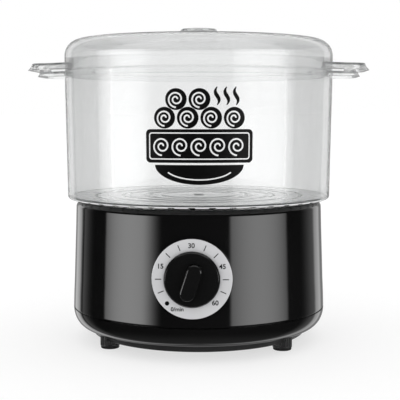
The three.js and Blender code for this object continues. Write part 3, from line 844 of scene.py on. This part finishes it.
place(lid, clear, "lid", "clear_plastic", "lid")


# ---- Printed emblem: steam over rolled towels on a plaque, with a dish under it ----
EMBLEM_Z = 160.5
EMBLEM_TURN = math.radians(3)


def bowl_wall(z):
    """The outer radius of the bowl's wall at a height."""
    return LOW_R + (RIM_R - LOW_R) * (z - LOW_Z) / (RIM_Z - LOW_Z)


def stroke(points, widths):
    """The outline of a ribbon along the points, with a width at each."""
    left, right = [], []
    for k, (x, y) in enumerate(points):
        ahead = Vector(points[min(k + 1, len(points) - 1)]) - Vector(points[max(k - 1, 0)])
        side = Vector((-ahead.y, ahead.x)).normalized() * widths[k] / 2
        left.append((x + side.x, y + side.y))
        right.append((x - side.x, y - side.y))
    return left + right[::-1]


def disc(x, y, radius, steps=48):
    turns = (2 * math.pi * k / steps for k in range(steps))
    return [(x + radius * math.cos(t), y + radius * math.sin(t)) for t in turns]


def roll(x, y, radius, width=1.1, turns=1.75, steps=64):
    """The light spiral of a rolled towel seen from its end."""
    points = []
    for k in range(steps + 1):
        t = k / steps
        r = 0.9 + (radius - 0.9) * t
        a = 2 * math.pi * turns * t
        points.append((x + r * math.cos(a), y + r * math.sin(a)))
    return stroke(points, [width] * (steps + 1))


def wisp(x, low, high, sway, width):
    """The outline of a waving line of steam."""
    points = [(x + sway * math.sin(k / 24 * 2 * math.pi), low + (high - low) * k / 24) for k in range(25)]
    return stroke(points, [0.5 + width * math.sin(math.pi * k / 24) for k in range(25)])


def slab_outline(half, low, high, corner, steps=6):
    """A rectangle with rounded corners, centred across."""
    points = []
    for cx, cy, start in (
        (half - corner, high - corner, 0),
        (corner - half, high - corner, 90),
        (corner - half, low + corner, 180),
        (half - corner, low + corner, 270),
    ):
        points += arc(cx, cy, corner, corner, start, start + 90, steps)
    return points


def inked(outline, *light):
    """A printed shape with light shapes left open in it, cut into strips and bent round the bowl."""
    curve = bpy.data.curves.new("ink", "CURVE")
    curve.dimensions = "2D"
    curve.fill_mode = "BOTH"
    for points in (outline, *light):
        spline = curve.splines.new("POLY")
        spline.points.add(len(points) - 1)
        spline.use_cyclic_u = True
        for point, (x, y) in zip(spline.points, points):
            point.co = (x, y, 0, 1)
    obj = bpy.data.objects.new("ink", curve)
    bpy.context.scene.collection.objects.link(obj)
    bpy.context.view_layer.update()
    mesh = bpy.data.meshes.new_from_object(obj.evaluated_get(bpy.context.evaluated_depsgraph_get()))
    bm = bmesh.new()
    bm.from_mesh(mesh)
    bpy.data.objects.remove(obj)
    bpy.data.curves.remove(curve)
    bpy.data.meshes.remove(mesh)
    bmesh.ops.remove_doubles(bm, verts=bm.verts, dist=1e-4)
    for step in range(-19, 20):
        bmesh.ops.bisect_plane(
            bm, geom=bm.verts[:] + bm.edges[:] + bm.faces[:], plane_co=(step * 2, 0, 0), plane_no=(1, 0, 0)
        )
    front = bmesh.ops.extrude_face_region(bm, geom=bm.faces[:])["geom"]
    raised = {g for g in front if isinstance(g, bmesh.types.BMVert)}
    for vert in bm.verts:
        z = EMBLEM_Z + vert.co.y
        r = bowl_wall(z) + (0.1 if vert in raised else 0.03)
        a = vert.co.x / bowl_wall(EMBLEM_Z) + EMBLEM_TURN
        vert.co = (r * math.sin(a), -r * math.cos(a), z)
    return bm


plaque = slab_outline(37.4, -18.4, 4.6, 3)
border = [slab_outline(35.2, -16.2, 2.4, 2), slab_outline(34.4, -15.4, 1.6, 1.4)]
dish = [(31, -19.8)] + arc(0, -19.8, 31, 13.6, 0, -180, 30)[1:-1] + [(-31, -19.8)]
dish_line = arc(0, -21.2, 24, 8.8, -25, -155, 24)
prints = [
    inked(plaque, *border, *[roll(x, -6.9, 6.4) for x in (-26, -13, 0, 13, 26)]),
    inked(dish, stroke(dish_line, [0.9] * len(dish_line))),
]
for x, y in ((-24, 12.4), (-8, 12.4), (8, 12.4), (24, 12.4), (-16, 25), (0, 25)):
    prints.append(inked(disc(x, y, 7.4), roll(x, y, 5.6)))
for x in (12, 18.6, 25.2):
    prints.append(inked(wisp(x, 21, 33.4, 1.3, 2.2)))

emblem = finish_mesh(merged(prints), "emblem")
place(emblem, print_black, "bowl", "clear_plastic")

# ---- Carried over CAD nodes ----
SLOT_MATERIALS = {
    "gloss_black": gloss_black,
    "matt_black": matt_black,
    "clear_plastic": clear,
    "dial_silver": dial_silver,
    "cast_aluminium": cast_aluminium,
    "steel": zinc_steel,
    "brass": brass,
    "rubber": rubber,
    "silicone": silicone,
    "nylon": nylon,
    "lead_insulation": lead_insulation,
}
for part in frame["record"]["subparts"]:
    node = frame["nodes"][part["node"]]
    for holder in node.material_slots:
        holder.material = SLOT_MATERIALS[part["material_slot"]]

# ---- Floor, light and camera ----
bpy.ops.mesh.primitive_plane_add(size=200, location=(0, 0, 0))
ground = bpy.context.object
ground.name = "ground"
ground_nodes = Nodes(
    "pale_floor", Specular_IOR_Level=0.0, Emission_Color=(1, 1, 1, 1), Emission_Strength=0.66
)
ground_nodes.tint(ground_nodes.noise(3, 2), (0.36, 0.36, 0.36), (0.38, 0.38, 0.38))
ground_nodes.roughness(ground_nodes.noise(20, 2), 0.6, 0.7)
ground.data.materials.append(ground_nodes.material)
ground.visible_glossy = False

world = bpy.data.worlds.new("studio")
world.use_nodes = True
world.node_tree.nodes["Background"].inputs["Color"].default_value = (1, 1, 1, 1)
world.node_tree.nodes["Background"].inputs["Strength"].default_value = 1.0
world.cycles_visibility.glossy = False
bpy.context.scene.world = world


def reflections():
    """The shader of the studio shell: what the gloss reflects, by direction from the steamer."""
    nodes = Nodes("studio_reflections")
    tree = nodes.tree
    tree.nodes.remove(nodes.shader)

    def maths(operation, *values):
        node = tree.nodes.new("ShaderNodeMath")
        node.operation = operation
        for socket, value in zip(node.inputs, values):
            if isinstance(value, (int, float)):
                socket.default_value = value
            else:
                tree.links.new(value, socket)
        return node.outputs["Value"]

    def step(value, start, end):
        """0 before start, 1 after end."""
        node = tree.nodes.new("ShaderNodeMapRange")
        node.interpolation_type = "SMOOTHSTEP"
        node.inputs["From Min"].default_value = start
        node.inputs["From Max"].default_value = end
        tree.links.new(value, node.inputs["Value"])
        return node.outputs["Result"]

    def band(value, start, full, fade, end):
        return maths("MULTIPLY", step(value, start, full), step(value, end, fade))

    split = tree.nodes.new("ShaderNodeSeparateXYZ")
    tree.links.new(nodes.coords, split.inputs["Vector"])
    x, y, z = split.outputs
    across = maths("SQRT", maths("ADD", maths("MULTIPLY", x, x), maths("MULTIPLY", y, y)))
    azimuth = maths("DEGREES", maths("ARCTAN2", x, maths("MULTIPLY", y, -1)))
    elevation = maths("DEGREES", maths("ARCTAN2", z, across))
    side = maths("ABSOLUTE", azimuth)
    level = band(elevation, -12.2, -11.2, 7, 9)

    def panel(centre, peak, edges):
        """A softbox, brightest in the middle."""
        offset = maths("DIVIDE", maths("SUBTRACT", azimuth, centre), 31)
        bulge = maths("SUBTRACT", 1, maths("MULTIPLY", 0.7, maths("MULTIPLY", offset, offset)))
        glow = maths("MULTIPLY", maths("MULTIPLY", bulge, peak), band(azimuth, *edges))
        return maths("MULTIPLY", glow, level)

    left = panel(-58, 4.9, (-91, -88, -50, -29))
    right = panel(57, 4.05, (29, 32.5, 87, 90.5))
    strip = maths("MULTIPLY", step(side, 106, 130), 0.38)
    cove = maths("MULTIPLY", maths("SUBTRACT", step(side, 131, 137), step(side, 146, 156)), 0.95)
    seam = maths("SUBTRACT", 1, maths("MULTIPLY", band(azimuth, -132, -130, -128, -126), 0.8))
    back = maths("MULTIPLY", maths("ADD", strip, cove), seam)
    roof = maths("MULTIPLY", step(elevation, 38, 62), 1.1)
    table = maths("MULTIPLY", step(elevation, -30, -70), 0.16)
    glow = maths("ADD", maths("ADD", left, right), maths("MAXIMUM", maths("MAXIMUM", back, roof), table))
    emission = tree.nodes.new("ShaderNodeEmission")
    tree.links.new(glow, emission.inputs["Strength"])
    tree.links.new(emission.outputs["Emission"], tree.nodes["Material Output"].inputs["Surface"])
    nodes.material.cycles.emission_sampling = "NONE"
    return nodes.material


bpy.ops.mesh.primitive_uv_sphere_add(segments=64, ring_count=32, radius=5, location=(0, 0, 0.1))
shell = bpy.context.object
shell.name = "studio_shell"
shell.data.materials.append(reflections())
for ray in ("camera", "diffuse", "transmission", "volume_scatter", "shadow"):
    setattr(shell, "visible_" + ray, False)

EYE_DISTANCE, EYE_Z = 779, 176
AZIMUTH, PITCH, AIM_RIGHT = 2.7, 5.0, 0.077  # degrees
SENSOR, FOCAL = 36, 89.37
camera = bpy.data.cameras.new("camera")
camera.sensor_width = SENSOR
camera.lens = FOCAL
camera.clip_start = 0.05
view = bpy.data.objects.new("camera", camera)
bpy.context.scene.collection.objects.link(view)
turn = math.radians(AZIMUTH)
view.location = (
    EYE_DISTANCE * MM * math.sin(turn),
    (AXIS_Y - EYE_DISTANCE * math.cos(turn)) * MM,
    EYE_Z * MM,
)
view.rotation_euler = (math.radians(90 - PITCH), 0, math.radians(AZIMUTH - AIM_RIGHT))
bpy.context.scene.camera = view
bpy.context.scene.view_settings.view_transform = "Standard"
